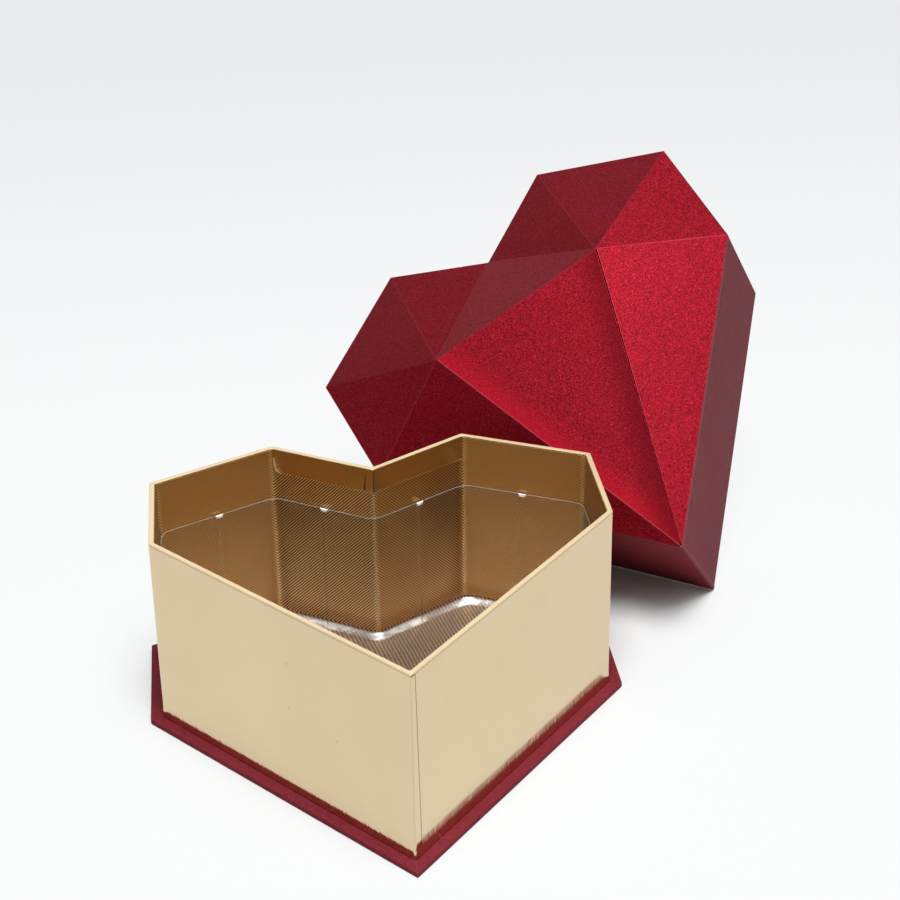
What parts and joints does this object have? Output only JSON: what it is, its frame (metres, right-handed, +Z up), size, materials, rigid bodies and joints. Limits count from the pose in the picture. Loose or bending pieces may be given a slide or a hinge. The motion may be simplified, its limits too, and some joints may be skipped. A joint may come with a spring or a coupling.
{
  "type": "faceted heart gift box",
  "caption": "Open heart-shaped rigid gift box with a clear inner tray on a red base board, and a hollow faceted red lid propped on edge behind it.",
  "frame": {"origin": "underside of the base board, on the centre line of the heart, midway along its two short straight sides", "axes": "+Z up; the heart's tip points along -Y and its two lobes along +Y; +X to the right seen from the tip"},
  "size_m": [0.314, 0.372, 0.1853],
  "materials": {
    "greyboard": "matt grey board",
    "wine_paper": "satin pearl wine red",
    "pearl_red_paper": "sparkling pearl red",
    "gold_foil_paper": "smooth mirror gold foil",
    "ribbed_gold_paper": "embossed gold foil",
    "clear_sheet": "clear thermoformed sheet",
    "gummed_tape": "brown gummed kraft tape"
  },
  "bodies": {
    "box": {"base_board": "greyboard", "base_wrap": "wine_paper", "box_corner_tapes": "gummed_tape", "box_floor_board": "greyboard", "box_floor_lining": "ribbed_gold_paper", "box_wall_lining": "ribbed_gold_paper", "box_wall_notch_left": "greyboard", "box_wall_notch_right": "greyboard", "box_wall_shoulder_left": "greyboard", "box_wall_shoulder_right": "greyboard", "box_wall_side_left": "greyboard", "box_wall_side_right": "greyboard", "box_wall_tip_left": "greyboard", "box_wall_tip_right": "greyboard", "box_wrap": "gold_foil_paper"},
    "tray": {"clear_tray": "clear_sheet"},
    "lid": {"crown_board_lobe_left": "greyboard", "crown_board_lobe_right": "greyboard", "crown_board_notch_centre": "greyboard", "crown_board_shoulder_left": "greyboard", "crown_board_shoulder_right": "greyboard", "crown_board_side_left": "greyboard", "crown_board_side_right": "greyboard", "crown_board_tip_centre": "greyboard", "crown_board_tip_left": "greyboard", "crown_board_tip_right": "greyboard", "crown_lining": "ribbed_gold_paper", "crown_wrap": "pearl_red_paper", "skirt_corner_tapes": "gummed_tape", "skirt_lining": "ribbed_gold_paper", "skirt_wall_notch_left": "greyboard", "skirt_wall_notch_right": "greyboard", "skirt_wall_shoulder_left": "greyboard", "skirt_wall_shoulder_right": "greyboard", "skirt_wall_side_left": "greyboard", "skirt_wall_side_right": "greyboard", "skirt_wall_tip_left": "greyboard", "skirt_wall_tip_right": "greyboard", "skirt_wrap": "wine_paper"}
  },
  "joints": [
    {"name": "tray_lift", "type": "slide", "parent": "box", "child": "tray", "axis": [0, 0, 1], "range_m": [0, 0.1]},
    {"name": "lid_lift", "type": "slide", "parent": "box", "child": "lid", "axis": [0, 0, 1], "range_m": [0, 0.15]}
  ]
}
